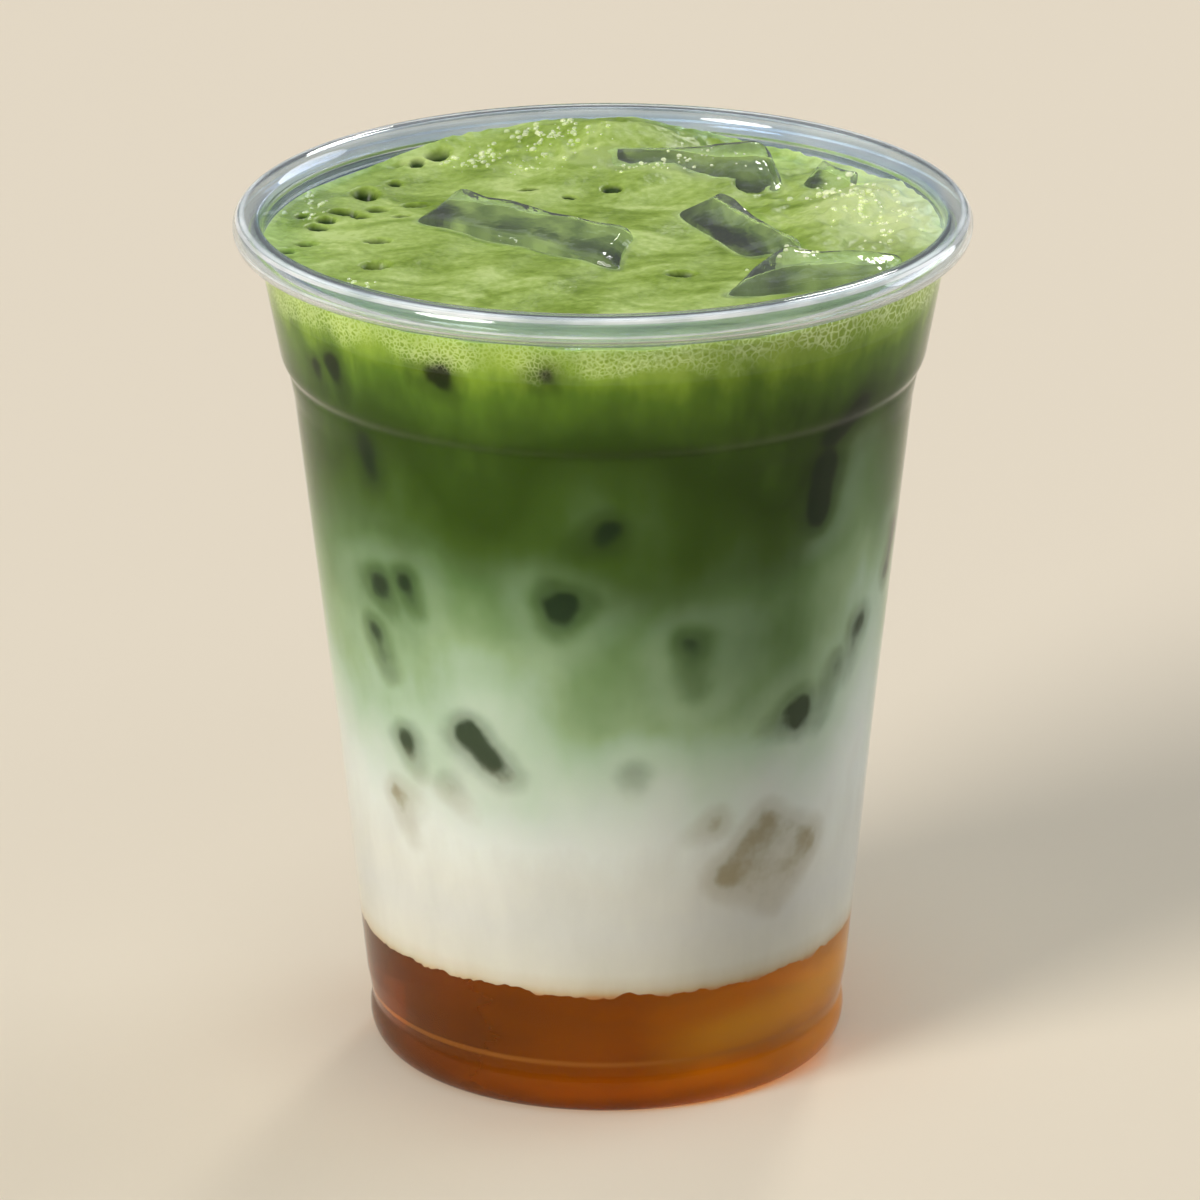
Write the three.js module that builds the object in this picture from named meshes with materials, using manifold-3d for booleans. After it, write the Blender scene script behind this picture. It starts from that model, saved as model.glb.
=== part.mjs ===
// An iced matcha latte in its clear plastic cold cup: amber syrup at the bottom,
// milk, a marbled band of milk and matcha, dark matcha, and a froth with ice
// pieces floating in it. Millimetres, +Z up, origin under the middle of the cup.

import * as THREE from 'three';
import { mergeVertices } from 'three/addons/utils/BufferGeometryUtils.js';
import { RoundedBoxGeometry } from 'three/addons/geometries/RoundedBoxGeometry.js';
import Module from 'manifold-3d';

// Driving dimensions of the cup, a 98 mm rim on a 16 ounce body
const RIM_RADIUS = 49;
const CUP_HEIGHT = 117.4;
const WALL = 0.6;
const ROLL_HALF_WIDTH = 1.95;
const ROLL_HALF_HEIGHT = 2.2;
const FOOT_BEAD_RADIUS = 32.35;
const FOOT_BEAD_HEIGHT = 3.9;
const FOOT_BEAD_DEPTH = 2.75;
const FOOT_RING_INNER = 27.4;
const FLOOR_LIFT = 2.7;
const FLOOR_RADIUS = 26.2;

// Outside of the wall in straight runs, from above the foot bead to under the rim roll: [radius, height]
const WALL_OUTSIDE = [
  [32.45, 8.0],
  [32.8, 10.5],
  [36.1, 45.0],
  [41.25, 92.2],
  [41.95, 95.4],
  [43.0, 98.4],
  [45.65, 112.6],
];

// Driving dimensions of the drink
const SEGMENTS = 56;
const GAP = 0.3;
const SYRUP_TOP = 18.2;
const MILK_TOP = 56;
const MATCHA_MILK_TOP = 85;
const MATCHA_TOP = 107;
const FOAM_TOP = 111.6;
const FACE_RINGS = 2;
const FOAM_RINGS = 14;
const ICE_CHAMFER = 0.06;
const ICE_CUT_CLEARANCE = 0.4;

// Each ice piece: the four corners of its upper face, near left, near right, far right and
// far left, then how its foot is shifted and how wide it is set against the upper face
const ICE = {
  ice_left: {
    upper: [[-25.8, 8.8, 112.9], [2.2, -11.2, 113.4], [4.4, 1.2, 114.0], [-20.4, 16.4, 115.4]],
    foot: [-1, -2, -20],
    spread: 0.95,
  },
  ice_back: {
    upper: [[-9.0, 28.4, 112.2], [25.6, 19.4, 112.2], [22.6, 33.6, 116.9], [-4.0, 33.6, 114.7]],
    foot: [-1, -1, -21],
    spread: 0.9,
  },
  ice_middle: {
    upper: [[8.6, 12.8, 112.3], [19.4, -8.2, 112.5], [26.4, -5.2, 113.9], [15.4, 14.9, 115.3]],
    foot: [0, 1, -17],
    spread: 0.9,
  },
  ice_front: {
    upper: [[14.4, -23.4, 112.6], [36.6, -19.8, 113.8], [39.3, -13.0, 114.7], [24.0, -12.4, 116.2]],
    foot: [-2, -3, -19],
    spread: 0.95,
  },
  ice_corner: {
    upper: [[26.8, 22.4, 113.2], [32.2, 18.8, 113.6], [34.8, 22.6, 114.7], [29.6, 28.0, 115.0]],
    foot: [-1, -2, -10],
    spread: 0.85,
  },
};

// Points along an arc of an ellipse, angles in degrees
function arc(centreRadius, centreHeight, halfWidth, halfHeight, from, to, steps) {
  const points = [];
  for (let step = 0; step <= steps; step += 1) {
    const angle = THREE.MathUtils.degToRad(from + ((to - from) * step) / steps);
    points.push([
      centreRadius + halfWidth * Math.cos(angle),
      centreHeight + halfHeight * Math.sin(angle),
    ]);
  }
  return points;
}

// The foot bead's curve, drawn in by an inset: 0 for the outside, the wall for the inside
function footBead(inset, steps) {
  return arc(
    FOOT_BEAD_RADIUS - FOOT_BEAD_DEPTH,
    FOOT_BEAD_HEIGHT,
    FOOT_BEAD_DEPTH - inset,
    FOOT_BEAD_HEIGHT - inset,
    -90,
    32,
    steps,
  );
}

function wallInside(inset) {
  return WALL_OUTSIDE.map(([radius, height]) => [radius - inset, height]);
}

// Radius of the drink at a height: the wall's inside less the gap, upright inside the rim
function drinkRadius(height) {
  const line = wallInside(WALL + GAP);
  let index = 1;
  while (index < line.length - 1 && line[index][1] < height) {
    index += 1;
  }
  const [lowRadius, lowHeight] = line[index - 1];
  const [highRadius, highHeight] = line[index];
  const share = THREE.MathUtils.clamp((height - lowHeight) / (highHeight - lowHeight), 0, 1);
  return lowRadius + (highRadius - lowRadius) * share;
}

// A body turned round the upright axis from [radius, height] points
function turned(points) {
  const profile = points.map(([radius, height]) => new THREE.Vector2(radius, height));
  const geometry = new THREE.LatheGeometry(profile, SEGMENTS);
  geometry.rotateX(Math.PI / 2);
  return geometry;
}

// The thin cup: under the floor, out round the foot, up the wall, over the rolled rim,
// and back down the inside to the middle of the floor
function cupGeometry() {
  const rollRadius = RIM_RADIUS - ROLL_HALF_WIDTH;
  const rollHeight = CUP_HEIGHT - ROLL_HALF_HEIGHT;
  const under = [[0, FLOOR_LIFT], [FLOOR_RADIUS, FLOOR_LIFT], [FOOT_RING_INNER, 0]];
  const roll = arc(rollRadius, rollHeight, ROLL_HALF_WIDTH, ROLL_HALF_HEIGHT, -116, 174, 10);
  const inside = wallInside(WALL).reverse();
  const bead = footBead(WALL, 5).reverse();
  const floor = [
    [FOOT_RING_INNER + WALL, WALL],
    [FLOOR_RADIUS + 0.7 * WALL, FLOOR_LIFT + WALL],
    [0, FLOOR_LIFT + WALL],
  ];
  return turned([...under, ...footBead(0, 5), ...WALL_OUTSIDE, ...roll, ...inside, ...bead, ...floor]);
}

// Where two liquids meet: heights that wander round the cup, more near the wall
function wander(amount, turns, phase) {
  return (x, y) => {
    const angle = Math.atan2(y, x);
    const reach = Math.hypot(x, y) / RIM_RADIUS;
    const slow = Math.sin(turns * angle + phase);
    const quick = 0.45 * Math.sin((2 * turns + 1) * angle - 2 * phase);
    return amount * reach * (slow + quick);
  };
}

const syrupEdge = wander(0.35, 2, 0.6);
const milkEdge = wander(2.4, 3, 1.9);
const matchaMilkEdge = wander(3.2, 2, 4.1);
const matchaEdge = wander(0.5, 3, 0.4);

// A soft heap on the froth: centre, half widths and height
function heap(x, y, centreX, centreY, halfX, halfY, height) {
  const across = (x - centreX) / halfX;
  const along = (y - centreY) / halfY;
  return height * Math.exp(-0.5 * (across * across + along * along));
}

// The top of the froth above FOAM_TOP: low in front, climbing to the back, a heap over sunken
// ice against the back wall, some pushed up against the back ice, a hump and ridges on the
// right, and a lip where it wets the wall
function foamRelief(x, y) {
  const climb = 0.55 * (1 + y / RIM_RADIUS);
  const backHeap = heap(x, y, 1, 40, 9.5, 5.5, 3.9);
  const backShoulder = heap(x, y, -15, 40, 9, 6, 1.2);
  const againstIce = heap(x, y, 6, 26, 9, 3.5, 1.1);
  const rightHump = heap(x, y, 34, 13, 4.5, 5.5, 1.9);
  const rightRidge = heap(x, y, 41, 2, 2.6, 9, 1.2) + heap(x, y, 30, 2, 3, 6, 0.7);
  const billows = 0.22 * Math.sin(0.23 * x + 0.9) * Math.cos(0.19 * y - 0.4);
  const folds = 0.14 * Math.sin(0.52 * x - 0.31 * y);
  const fromWall = drinkRadius(FOAM_TOP) - Math.hypot(x, y);
  const lip = 0.5 * Math.exp(-fromWall / 1.4);
  const heaps = backHeap + backShoulder + againstIce + rightHump + rightRidge;
  return climb + heaps + billows + folds + lip;
}

// Rings of a level face, from the wall to the middle or back
function faceRings(height, count) {
  const rings = [];
  for (let ring = 0; ring < count; ring += 1) {
    rings.push([(drinkRadius(height) * ring) / count, height]);
  }
  return rings;
}

// Moves the points of a level face up or down by a function of their place, and keeps
// the face's rim at the gap from the wall
function shapeFace(geometry, level, lift) {
  const position = geometry.attributes.position;
  for (let index = 0; index < position.count; index += 1) {
    if (Math.abs(position.getZ(index) - level) > 1e-4) {
      continue;
    }
    const x = position.getX(index);
    const y = position.getY(index);
    const radius = Math.hypot(x, y);
    const height = level + lift(x, y);
    const atWall = Math.abs(radius - drinkRadius(level)) < 1e-3;
    const scale = atWall ? drinkRadius(height) / radius : 1;
    position.setXYZ(index, x * scale, y * scale, height);
  }
}

// A layer of the drink between two levels, with the wall's corners between them
function layerGeometry(bottom, bottomLift, top, topLift, topRings) {
  const corners = wallInside(WALL + GAP).filter(([, height]) => height > bottom && height < top);
  const geometry = turned([
    ...faceRings(bottom, FACE_RINGS),
    [drinkRadius(bottom), bottom],
    ...corners,
    [drinkRadius(top), top],
    ...faceRings(top, topRings).reverse(),
  ]);
  shapeFace(geometry, bottom, bottomLift);
  shapeFace(geometry, top, topLift);
  return geometry;
}

// The syrup also fills the channel inside the foot bead
function syrupGeometry() {
  const floor = FLOOR_LIFT + WALL + GAP;
  const channel = WALL + GAP;
  const corners = wallInside(channel).filter(([, height]) => height < SYRUP_TOP);
  const geometry = turned([
    [0, floor],
    [FLOOR_RADIUS + 0.6, floor],
    [FOOT_RING_INNER + 1.2, channel],
    ...footBead(channel, 5),
    ...corners,
    [drinkRadius(SYRUP_TOP), SYRUP_TOP],
    ...faceRings(SYRUP_TOP, FACE_RINGS).reverse(),
  ]);
  shapeFace(geometry, SYRUP_TOP, syrupEdge);
  return geometry;
}

// An ice piece: a cube with worn edges, its corners put where the piece's are. A clearance
// above 0 makes the same form larger all round, to cut its bed in the drink
function iceGeometry(piece, clearance) {
  const box = new RoundedBoxGeometry(1, 1, 1, 1, ICE_CHAMFER);
  const [nearLeft, nearRight, farRight, farLeft] = piece.upper.map((corner) => new THREE.Vector3(...corner));
  const middle = new THREE.Vector3();
  [nearLeft, nearRight, farRight, farLeft].forEach((corner) => middle.addScaledVector(corner, 0.25));
  const shift = new THREE.Vector3(...piece.foot);
  const width = nearLeft.distanceTo(nearRight);
  const depth = nearRight.distanceTo(farRight);
  const height = shift.length();
  const grow = (size) => 1 + (2 * clearance) / size;
  const position = box.attributes.position;
  const front = new THREE.Vector3();
  const back = new THREE.Vector3();
  for (let index = 0; index < position.count; index += 1) {
    const across = 0.5 + position.getX(index) * grow(width);
    const along = 0.5 + position.getY(index) * grow(depth);
    const down = 0.5 - position.getZ(index) * grow(height);
    front.lerpVectors(nearLeft, nearRight, across);
    back.lerpVectors(farLeft, farRight, across);
    const point = front.lerp(back, along).sub(middle);
    point.multiplyScalar(1 + (piece.spread - 1) * down);
    point.add(middle).addScaledVector(shift, down);
    position.setXYZ(index, point.x, point.y, point.z);
  }
  return box;
}

const wasm = await Module();
wasm.setup();

function solidOf(geometry) {
  const bare = geometry.clone();
  bare.deleteAttribute('normal');
  bare.deleteAttribute('uv');
  const merged = mergeVertices(bare, 1e-4);
  const index = merged.index.array;
  const faces = [];
  for (let start = 0; start < index.length; start += 3) {
    const [a, b, c] = index.slice(start, start + 3);
    if (a !== b && b !== c && c !== a) {
      faces.push(a, b, c);
    }
  }
  const mesh = new wasm.Mesh({
    numProp: 3,
    vertProperties: new Float32Array(merged.attributes.position.array),
    triVerts: new Uint32Array(faces),
  });
  return new wasm.Manifold(mesh);
}

function geometryOf(solid) {
  const mesh = solid.getMesh();
  const geometry = new THREE.BufferGeometry();
  geometry.setAttribute('position', new THREE.BufferAttribute(mesh.vertProperties, 3));
  geometry.setIndex(new THREE.BufferAttribute(mesh.triVerts, 1));
  geometry.computeVertexNormals();
  return geometry;
}

// A layer with the beds of the ice pieces cut out of it. Scraps that the cuts part are dropped
function cutRoundIce(geometry) {
  let solid = solidOf(geometry);
  for (const piece of Object.values(ICE)) {
    solid = solid.subtract(solidOf(iceGeometry(piece, ICE_CUT_CLEARANCE)));
  }
  const bodies = solid.decompose().sort((one, other) => other.volume() - one.volume());
  return geometryOf(bodies[0]);
}

const latte = new THREE.Group();

function addPiece(name, geometry, color, roughness) {
  const material = new THREE.MeshStandardMaterial({ color, roughness, metalness: 0 });
  const mesh = new THREE.Mesh(geometry, material);
  mesh.name = name;
  latte.add(mesh);
}

const milk = layerGeometry(SYRUP_TOP + GAP, syrupEdge, MILK_TOP, milkEdge, FACE_RINGS);
const matchaMilk = layerGeometry(MILK_TOP + GAP, milkEdge, MATCHA_MILK_TOP, matchaMilkEdge, FACE_RINGS);
const matcha = layerGeometry(MATCHA_MILK_TOP + GAP, matchaMilkEdge, MATCHA_TOP, matchaEdge, FACE_RINGS);
const foam = layerGeometry(MATCHA_TOP + GAP, matchaEdge, FOAM_TOP, foamRelief, FOAM_RINGS);

addPiece('cup', cupGeometry(), 0xdfe8ec, 0.08);
addPiece('syrup', syrupGeometry(), 0x8a4a12, 0.2);
addPiece('milk', milk, 0xe2e0cf, 0.35);
addPiece('matcha_milk', matchaMilk, 0x7f9f6c, 0.35);
addPiece('matcha', cutRoundIce(matcha), 0x3f6a1c, 0.35);
addPiece('foam', cutRoundIce(foam), 0x8fae3a, 0.6);
for (const [name, piece] of Object.entries(ICE)) {
  addPiece(name, iceGeometry(piece, 0), 0xb7cdb4, 0.05);
}

export default latte;
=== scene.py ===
# %% [markdown]
# # An iced matcha latte in a clear cold cup
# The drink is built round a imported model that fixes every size: a thin plastic cup, amber
# syrup at its foot, milk, milk marbled with matcha, dark matcha, froth, and ice. Blender
# adds the looks. Everything is in metres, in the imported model's own frame, with the cup's
# foot on the floor at z = 0 and the photo taken from the -Y side.
#
# The frame has to be loaded first, because each piece made below stands for one of its nodes.

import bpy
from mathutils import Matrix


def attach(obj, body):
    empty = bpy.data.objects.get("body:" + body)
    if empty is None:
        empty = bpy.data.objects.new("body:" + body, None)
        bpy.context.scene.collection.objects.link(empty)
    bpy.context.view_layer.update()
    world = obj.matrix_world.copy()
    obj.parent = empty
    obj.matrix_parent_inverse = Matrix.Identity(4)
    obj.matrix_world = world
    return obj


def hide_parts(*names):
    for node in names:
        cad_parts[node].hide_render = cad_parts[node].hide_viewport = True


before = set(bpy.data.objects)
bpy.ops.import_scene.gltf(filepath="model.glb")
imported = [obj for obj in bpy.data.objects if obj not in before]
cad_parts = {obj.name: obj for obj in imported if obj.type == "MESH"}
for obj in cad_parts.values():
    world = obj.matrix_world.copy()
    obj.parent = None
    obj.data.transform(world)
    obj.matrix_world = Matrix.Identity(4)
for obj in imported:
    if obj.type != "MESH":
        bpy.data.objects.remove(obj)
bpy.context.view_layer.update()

import math
import random

import bmesh
import bpy
import numpy as np
from mathutils import Vector, noise
from mathutils.bvhtree import BVHTree

MM = 0.001
print("nodes:", ", ".join(sorted(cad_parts)))

# %% [markdown]
# ## Camera
# The view was worked out from the ellipses of the rim and the foot: a camera one metre
# away, twenty degrees above the level, with a long lens so that the cup keeps its shape.
# A very small roll and shift put the cup where the photo has it.

# %% Place the camera
CAMERA_DISTANCE = 1.0
CAMERA_HEIGHT = 0.4267
CAMERA_PITCH = 20.05
CAMERA_ROLL = 0.29
CAMERA_LENS = 237.3
CAMERA_SHIFT = -0.004

camera_data = bpy.data.cameras.new("camera")
camera_data.lens = CAMERA_LENS
camera_data.sensor_width = 36
camera_data.shift_x = CAMERA_SHIFT
camera = bpy.data.objects.new("camera", camera_data)
bpy.context.collection.objects.link(camera)
camera.location = (0, -CAMERA_DISTANCE, CAMERA_HEIGHT)
camera.rotation_mode = "YXZ"
camera.rotation_euler = (math.radians(90 - CAMERA_PITCH), 0, 0)
camera.rotation_euler.rotate_axis("Z", math.radians(-CAMERA_ROLL))
bpy.context.scene.camera = camera
bpy.context.scene.view_settings.view_transform = "Standard"
print("camera at", tuple(round(value, 3) for value in camera.location))

# %% [markdown]
# ## Colours and nodes
# Colours are picked as they look on a screen, and Blender's shaders reckon in linear
# light, so one function turns the one into the other. A second function adds a shader
# node with its settings and links, which keeps every material below readable.

# %% Helpers for materials
PLUS = {"operation": "ADD"}
MINUS = {"operation": "SUBTRACT"}
TIMES = {"operation": "MULTIPLY"}
OVER = {"operation": "DIVIDE"}
SOFT = {"interpolation_type": "SMOOTHSTEP"}


def colour(code, alpha=1.0):
    """The linear colour of an sRGB hex code such as "8faa4a"."""
    parts = [int(code[place:place + 2], 16) / 255 for place in (0, 2, 4)]
    linear = [part / 12.92 if part <= 0.04045 else ((part + 0.055) / 1.055) ** 2.4 for part in parts]
    return (*linear, alpha)


def add(tree, kind, settings=None, **links):
    """Adds a node; a link is named for its socket, with _ for a space, or i and its number."""
    made = tree.nodes.new("ShaderNode" + kind)
    for setting, value in (settings or {}).items():
        setattr(made, setting, value)
    for name, value in links.items():
        place = int(name[1:]) if name[1:].isdigit() else name.replace("_", " ")
        if isinstance(value, bpy.types.Node):
            value = value.outputs[0]
        if isinstance(value, bpy.types.NodeSocket):
            tree.links.new(value, made.inputs[place])
        else:
            made.inputs[place].default_value = value
    return made


def new_material(name):
    """An empty material, its node tree and the coordinates that its patterns read."""
    material = bpy.data.materials.new(name)
    material.use_nodes = True
    tree = material.node_tree
    tree.nodes.clear()
    return material, tree, add(tree, "TexCoord").outputs["Object"]


def pattern(tree, kind, coords, size_mm, stretch=(1, 1, 1), settings=None, **links):
    """A pattern of any kind at its real size: one unit of it is size_mm long."""
    place = add(tree, "Mapping", Vector=coords, Scale=[share / (size_mm * MM) for share in stretch])
    return add(tree, kind, settings, Vector=place, Scale=1.0, **links)


def between(tree, value, low, low_full, high_full, high, most=1.0):
    """Rises softly from 0 over a lower limit and falls back to 0 over an upper one."""
    lower = add(tree, "MapRange", SOFT, i0=value, i1=low, i2=low_full)
    upper = add(tree, "MapRange", SOFT, i0=value, i1=high, i2=high_full, i4=most)
    return add(tree, "Math", TIMES, i0=lower, i1=upper)


def set_stops(ramp, stops):
    """Fills a colour ramp with (place, hex) pairs."""
    elements = ramp.color_ramp.elements
    while len(elements) < len(stops):
        elements.new(0.5)
    for element, (place, code) in zip(elements, stops):
        element.position = place
        element.color = colour(code)


print("a mid grey in linear light:", round(colour("808080")[0], 3))

# %% [markdown]
# ## Floor and light
# The cup stands on a plain pale floor that runs far behind it, so one even colour fills
# the picture. The light is soft and comes from far off, as from big lamps at the end of a
# long studio, so that the floor is lit evenly: a key from the front left, a weak fill
# from the right, another from overhead for the froth, and a small one from behind that
# draws glints on wet ice and bubbles. The room round them is dim but
# for one bright band high on its walls, which draws long thin lines of light on the rim.

# %% Make the floor and the lamps
bpy.ops.object.select_all(action="DESELECT")
FLOOR_SIZE = 8.0
bpy.ops.mesh.primitive_plane_add(size=FLOOR_SIZE, location=(0, 0, 0))
floor = bpy.context.object
floor.name = "floor"
floor_material, tree, coords = new_material("painted_floor")
speckle = pattern(tree, "TexNoise", coords, 400, Detail=2.0)
paint = add(tree, "MixRGB", Fac=speckle, Color1=colour("e8dbc5"), Color2=colour("eaddc7"))
shader = add(tree, "BsdfPrincipled", Base_Color=paint, Roughness=0.9)
add(tree, "OutputMaterial", Surface=shader)
floor.data.materials.append(floor_material)


def far_lamp(name, bearing, climb, strength, spread, tint):
    """A lamp so far off that its light is even; bearing runs from the front to the right."""
    data = bpy.data.lights.new(name, "SUN")
    data.energy = strength
    data.angle = math.radians(spread)
    data.color = colour(tint)[:3]
    made = bpy.data.objects.new(name, data)
    bpy.context.collection.objects.link(made)
    side, up = math.radians(bearing), math.radians(climb)
    towards = Vector((math.sin(side) * math.cos(up), -math.cos(side) * math.cos(up), math.sin(up)))
    made.rotation_euler = towards.to_track_quat("Z", "Y").to_euler()


far_lamp("key_front_left", -50, 31, 2.25, 24, "fffaf4")
far_lamp("fill_right", 118, 12, 1.45, 40, "f6f8ff")
far_lamp("glint_back", 165, 38, 0.55, 9, "fffdf8")
far_lamp("overhead", 10, 80, 0.25, 20, "f8faff")
# Heights on a sphere round the scene, from 0 at the level to 1 overhead, and strengths
BRIGHT_BAND = (0.6, 0.68, 0.8, 0.86)
DIM = 0.1
BRIGHT = 1.2
world = bpy.data.worlds.new("studio")
bpy.context.scene.world = world
world.use_nodes = True
tree = world.node_tree
climb = add(tree, "SeparateXYZ", i0=add(tree, "TexCoord").outputs["Generated"]).outputs["Z"]
shine = add(tree, "MapRange", i0=between(tree, climb, *BRIGHT_BAND), i3=DIM, i4=BRIGHT)
tree.nodes["Background"].inputs["Color"].default_value = colour("dfe6ee")
tree.links.new(shine.outputs[0], tree.nodes["Background"].inputs["Strength"])

# %% [markdown]
# ## Modelling helpers
# A cup is a round thing, and the quickest true way to a round thing is to draw half of
# its outline and spin it. The outline starts from one corner of a plane, and each
# further point is extruded from the last one, as by hand. Rows that are close together
# let a relief be pressed into the surface afterwards.

# %% Helpers for shapes
def deselect():
    """Object mode with nothing selected, so that an operator touches only what comes next."""
    if bpy.context.object and bpy.context.object.mode != "OBJECT":
        bpy.ops.object.mode_set(mode="OBJECT")
    bpy.ops.object.select_all(action="DESELECT")


def pick(*pieces):
    """Selects these pieces alone and makes the first one active."""
    deselect()
    for piece in pieces:
        piece.select_set(True)
    bpy.context.view_layer.objects.active = pieces[0]


def edit_all():
    """Edit mode with the whole piece selected."""
    bpy.ops.object.mode_set(mode="EDIT")
    bpy.ops.mesh.select_all(action="SELECT")


def turned(name, outline, steps):
    """A piece spun round the upright axis from (radius, height) points in mm."""
    deselect()
    bpy.ops.mesh.primitive_plane_add(size=MM, location=(0, 0, 0))
    piece = bpy.context.object
    piece.name = name
    bpy.ops.object.mode_set(mode="EDIT")
    shape = bmesh.from_edit_mesh(piece.data)
    shape.verts.ensure_lookup_table()
    start = shape.verts[0]
    start.co = Vector((outline[0][0], 0, outline[0][1])) * MM
    for corner in shape.verts:
        corner.select_set(corner is not start)
    shape.select_flush_mode()
    bpy.ops.mesh.delete(type="VERT")
    bpy.ops.mesh.select_all(action="SELECT")
    for (radius, height), (next_radius, next_height) in zip(outline, outline[1:]):
        step = Vector((next_radius - radius, 0, next_height - height)) * MM
        bpy.ops.mesh.extrude_region_move(TRANSFORM_OT_translate={"value": step})
    bpy.ops.mesh.select_all(action="SELECT")
    bpy.ops.mesh.spin(steps=steps, angle=2 * math.pi, center=(0, 0, 0), axis=(0, 0, 1))
    bpy.ops.mesh.select_all(action="SELECT")
    bpy.ops.mesh.remove_doubles(threshold=0.002 * MM)
    bpy.ops.mesh.normals_make_consistent(inside=False)
    bpy.ops.object.mode_set(mode="OBJECT")
    return piece


def fine(outline, longest):
    """The same outline with extra points, no further apart than longest."""
    points = [outline[0]]
    for start, end in zip(outline, outline[1:]):
        run = np.subtract(end, start)
        count = max(1, math.ceil(math.hypot(*run) / longest))
        points += [tuple(start + run * (step / count)) for step in range(1, count + 1)]
    return points


def softened(outline, reach):
    """Rounds each inner corner by a short curve that starts reach mm before it."""
    points = [outline[0]]
    for before, corner, after in zip(outline, outline[1:], outline[2:]):
        ends = []
        for other in (before, after):
            away = np.subtract(other, corner)
            length = max(np.hypot(*away), 1e-6)
            ends.append(np.add(corner, away * min(reach / length, 0.45)))
        for share in (0, 0.25, 0.5, 0.75, 1):
            first = ends[0] * (1 - share) + np.array(corner) * share
            second = np.array(corner) * (1 - share) + ends[1] * share
            points.append(tuple(first * (1 - share) + second * share))
    points.append(outline[-1])
    return points


def arc(centre_radius, centre_height, half_width, half_height, start, end, steps):
    """Points along an arc of an ellipse, from one angle to another in degrees."""
    angles = [math.radians(start + (end - start) * step / steps) for step in range(steps + 1)]
    return [(centre_radius + half_width * math.cos(angle), centre_height + half_height * math.sin(angle))
            for angle in angles]


def places(piece):
    """All of a piece's points in mm, as rows of x, y, z."""
    flat = np.empty(3 * len(piece.data.vertices))
    piece.data.vertices.foreach_get("co", flat)
    return flat.reshape(-1, 3) / MM


def move_to(piece, points):
    """Puts a piece's points at new places in mm."""
    piece.data.vertices.foreach_set("co", (points * MM).ravel())
    piece.data.update()


def note_values(piece, name, values):
    """Stores one number for each point, for the material to read."""
    layer = piece.data.attributes.new(name, "FLOAT", "POINT")
    layer.data.foreach_set("value", values.astype(np.float32))


SHARP = 50


def dress(piece, material, slot, *nodes):
    """Gives a piece its material, its place in the model and smooth shading."""
    piece.data.materials.clear()
    piece.data.materials.append(material)
    piece.data.shade_smooth()
    piece.data.set_sharp_from_angle(angle=math.radians(SHARP))
    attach(piece, "root")
    if nodes:
        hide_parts(*nodes)
    triangles = sum(len(face.vertices) - 2 for face in piece.data.polygons)
    print(piece.name, triangles, "triangles")


# %% [markdown]
# ## The cup
# A cold cup is drawn from one warm sheet of clear PET, so its wall is one thin skin from
# the rolled rim to the foot, with a step near the top that stiffens it and a bead round
# the foot. The whole section is drawn once, outside and inside, and spun. The corners
# are softened first, because a drawn sheet can't take a sharp one.

# %% Measures of the cup
RIM_RADIUS = 49.0
CUP_HEIGHT = 117.4
WALL = 0.6
ROLL_HALF_WIDTH = 1.95
ROLL_HALF_HEIGHT = 2.2
ROLL_SKIN = 0.65
CUP_STEPS = 180
BEAD_STEPS = 12
BEAD_RADIUS = 32.35
BEAD_HEIGHT = 3.9
BEAD_DEPTH = 2.75
RING_INNER = 27.4
FLOOR_LIFT = 2.7
FLOOR_RADIUS = 26.2
WALL_TOP = 112.6
WALL_OUTSIDE = [(32.3, 7.6), (32.8, 10.5), (36.1, 45.0), (41.25, 92.2), (41.85, 95.2), (41.95, 96.2)]
WALL_OUTSIDE += [(42.75, 97.4), (43.05, 98.4), (45.65, WALL_TOP)]


def bead(inset):
    """The foot bead's curve, drawn in by an inset."""
    return arc(BEAD_RADIUS - BEAD_DEPTH, BEAD_HEIGHT, BEAD_DEPTH - inset, BEAD_HEIGHT - inset,
               -90, 32, BEAD_STEPS)


def wall_line(inset):
    """The wall in straight runs, drawn in by an inset."""
    return [(radius - inset, height) for radius, height in WALL_OUTSIDE]


print("cup:", 2 * RIM_RADIUS, "mm wide,", CUP_HEIGHT, "mm high")

# %% Shape the cup
ROLL_RADIUS = RIM_RADIUS - ROLL_HALF_WIDTH
ROLL_HEIGHT = CUP_HEIGHT - ROLL_HALF_HEIGHT
under = [(0, FLOOR_LIFT), (FLOOR_RADIUS, FLOOR_LIFT), (RING_INNER, 0)]
outside = softened(bead(0) + wall_line(0), 0.5)
roll = arc(ROLL_RADIUS, ROLL_HEIGHT, ROLL_HALF_WIDTH, ROLL_HALF_HEIGHT, -116, 174, 26)
inside = softened(bead(WALL) + wall_line(WALL), 0.5)[::-1]
channel = [(RING_INNER + WALL, WALL), (FLOOR_RADIUS + 0.7 * WALL, FLOOR_LIFT + WALL), (0, FLOOR_LIFT + WALL)]
cup_outline = softened(under, 0.5) + outside + roll + inside + softened([inside[-1]] + channel, 0.5)[1:]
cup = turned("cup_shell", fine(cup_outline, 2.5), CUP_STEPS)
print("cup outline points:", len(cup_outline))

# %% [markdown]
# The rim is a sheet that was curled over hot, so it's hollow. The hollow is a second,
# smaller ring inside the roll, turned inside out, because its skin faces the air in it.
# Sight crosses four skins there, which gives a real rim its many thin bright lines.

# %% Shape the hollow of the rolled rim
hollow_outline = arc(ROLL_RADIUS, ROLL_HEIGHT, ROLL_HALF_WIDTH - ROLL_SKIN,
                     ROLL_HALF_HEIGHT - ROLL_SKIN, 0, 360, 24)
hollow = turned("rim_hollow", hollow_outline, CUP_STEPS)
pick(hollow)
edit_all()
bpy.ops.mesh.flip_normals()
pick(cup, hollow)
bpy.ops.object.join()
print("cup points with the hollow:", len(cup.data.vertices))

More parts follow.
